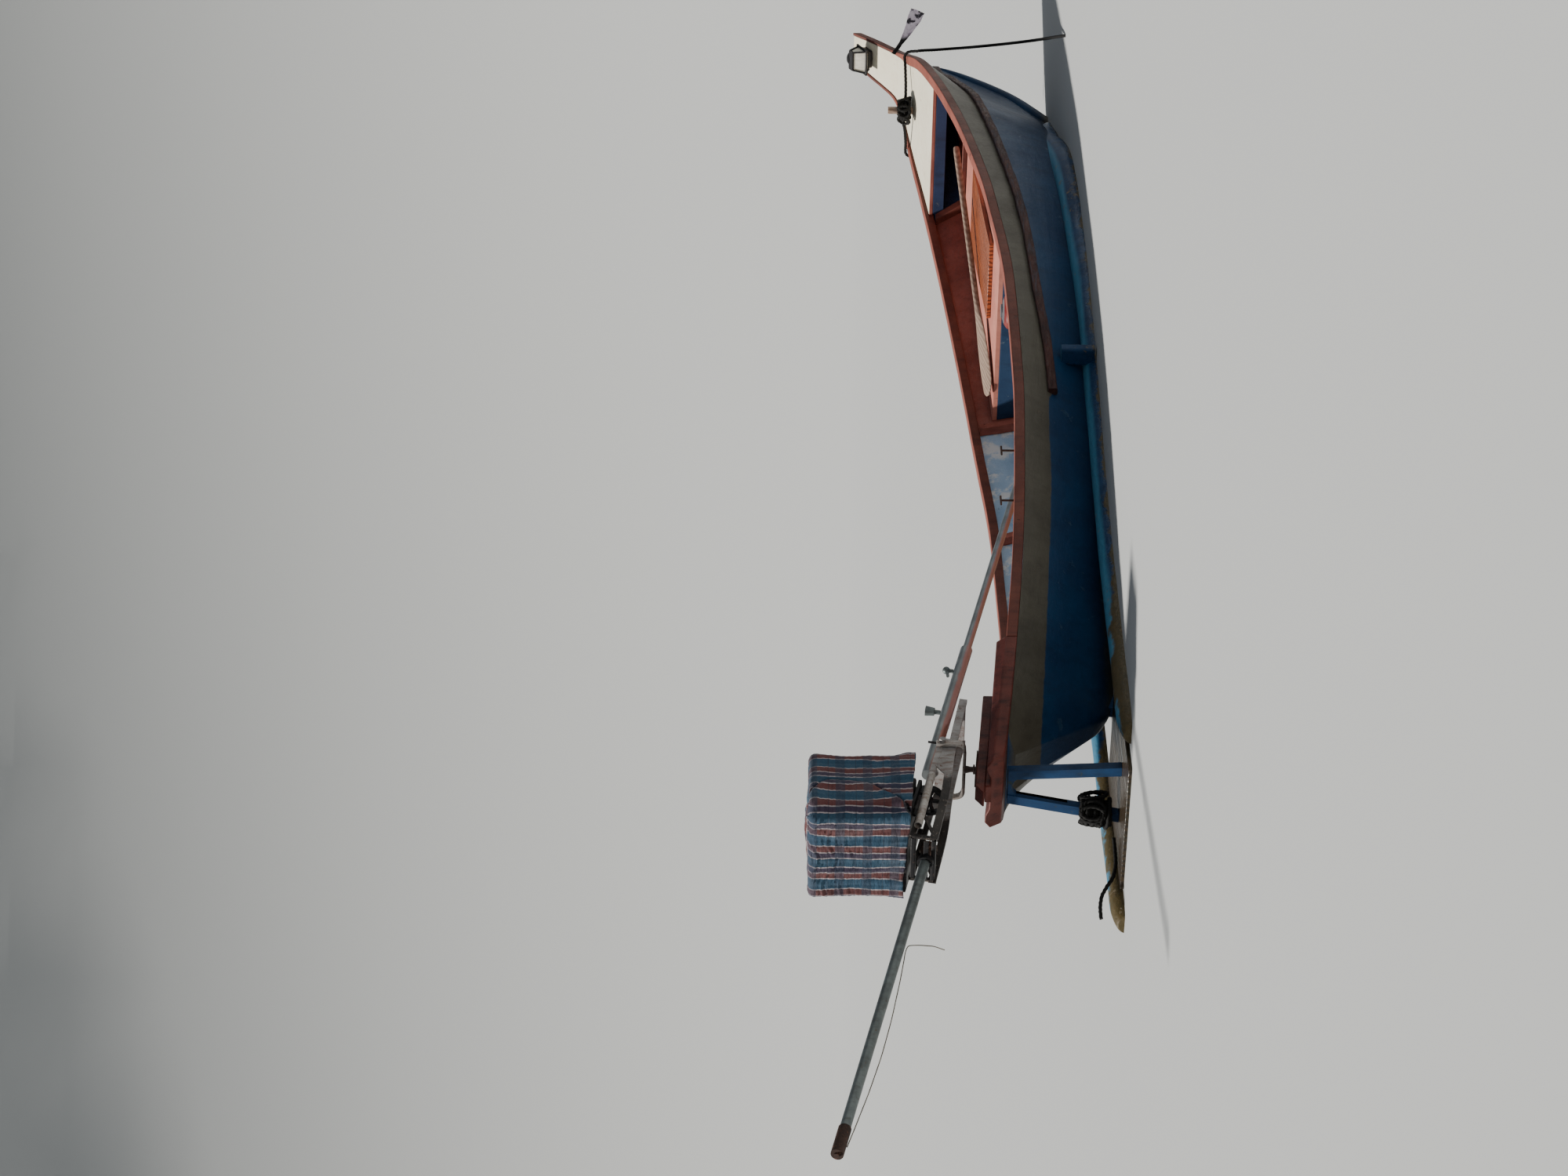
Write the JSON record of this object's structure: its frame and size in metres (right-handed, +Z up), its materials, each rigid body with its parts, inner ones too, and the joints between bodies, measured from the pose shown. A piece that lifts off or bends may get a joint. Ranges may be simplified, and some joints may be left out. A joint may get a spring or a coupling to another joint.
{
  "type": "longtail boat",
  "caption": "Small wooden longtail boat afloat, with its covered engine tilted on a steering yoke and the tail tube raised.",
  "frame": {"origin": "on the waterline, on the centre plane, a little forward of amidships", "axes": "+X forward to the bow, +Y to port, +Z up"},
  "size_m": [9.2574, 1.7794, 1.502],
  "materials": {
    "terracotta_paint": "worn matt paint",
    "hull_paint": "beige above, blue below, weathered",
    "blue_paint": "weathered paint",
    "cream_paint": "semi-gloss paint",
    "wet_timber": "bare, wet",
    "varnished_timber": "varnished",
    "grey_timber": "weathered, bare",
    "galvanised_steel": "dull zinc",
    "frame_paint": "off-white, chipped to rust",
    "rusty_steel": "rusted",
    "black_iron": "oily black",
    "plaid_cotton": "woven plaid, crumpled",
    "pale_ribbon": "thin, crumpled",
    "black_rope": "twisted, faded",
    "red_plastic": "faded",
    "lantern_frame": "dark, pale panes"
  },
  "bodies": {
    "hull": {"gunwale_starboard": "terracotta_paint", "gunwale_port": "terracotta_paint", "rub_rail_starboard": "terracotta_paint", "rub_rail_port": "terracotta_paint", "stern_cap": "terracotta_paint", "engine_bed": "terracotta_paint", "rib_stern": "terracotta_paint", "rib_aft": "terracotta_paint", "rib_middle": "terracotta_paint", "rib_fore": "terracotta_paint", "fore_frame": "terracotta_paint", "deck_beam": "terracotta_paint", "fore_floor": "terracotta_paint", "hull_shell": "hull_paint", "keel": "blue_paint", "runner_starboard": "blue_paint", "runner_port": "blue_paint", "stern_legs": "blue_paint", "floor_riser": "blue_paint", "foredeck": "cream_paint", "bow_plate": "cream_paint", "stern_board": "wet_timber", "sole_planks": "wet_timber", "loose_board": "varnished_timber", "paddle": "grey_timber", "mooring_post": "grey_timber", "bed_plate": "rusty_steel", "thole_pin_aft": "rusty_steel", "thole_pin_fore": "rusty_steel", "bow_ribbon": "pale_ribbon", "bow_rope_coil": "black_rope", "bow_rope_starboard": "black_rope", "bow_rope_port": "black_rope", "bow_rope_knot": "black_rope", "bow_rope_port_knot": "black_rope", "stern_rope_coil": "black_rope", "stern_rope_trail": "black_rope", "canister": "red_plastic", "lantern": "lantern_frame"},
    "yoke": {"yoke": "frame_paint"},
    "engine": {"frame_side_starboard": "frame_paint", "frame_side_port": "frame_paint", "frame_tie_fore": "frame_paint", "handle_seat": "frame_paint", "tail_flange": "galvanised_steel", "engine_plate": "black_iron", "engine_block": "black_iron", "engine_cover": "plaid_cotton", "handle_tube": "galvanised_steel", "grease_cup": "galvanised_steel", "clamp_lever": "galvanised_steel", "side_tube": "galvanised_steel", "tail_tube": "galvanised_steel", "tail_bearing": "rusty_steel", "tail_cord": "black_rope"},
    "tail_shaft": {"tail_shaft": "rusty_steel"},
    "pulley": {"pulley": "black_iron"}
  },
  "joints": [
    {"name": "steer", "type": "hinge", "parent": "hull", "child": "yoke", "pos_m": [-3.311, 0, 0.6], "axis": [0, 0, 1], "range_deg": [-14, 14]},
    {"name": "tilt", "type": "hinge", "parent": "yoke", "child": "engine", "pos_m": [-3.296, 0, 0.747], "axis": [0, 1, 0], "range_deg": [-30, 3]},
    {"name": "tail_shaft_turn", "type": "hinge", "parent": "engine", "child": "tail_shaft", "pos_m": [-4.77453, 0, 1.0048], "axis": [0.9789, 0, -0.2045], "continuous": true},
    {"name": "pulley_turn", "type": "hinge", "parent": "engine", "child": "pulley", "pos_m": [-3.54063, 0, 0.80832], "axis": [0.9789, 0, -0.2045], "continuous": true}
  ]
}
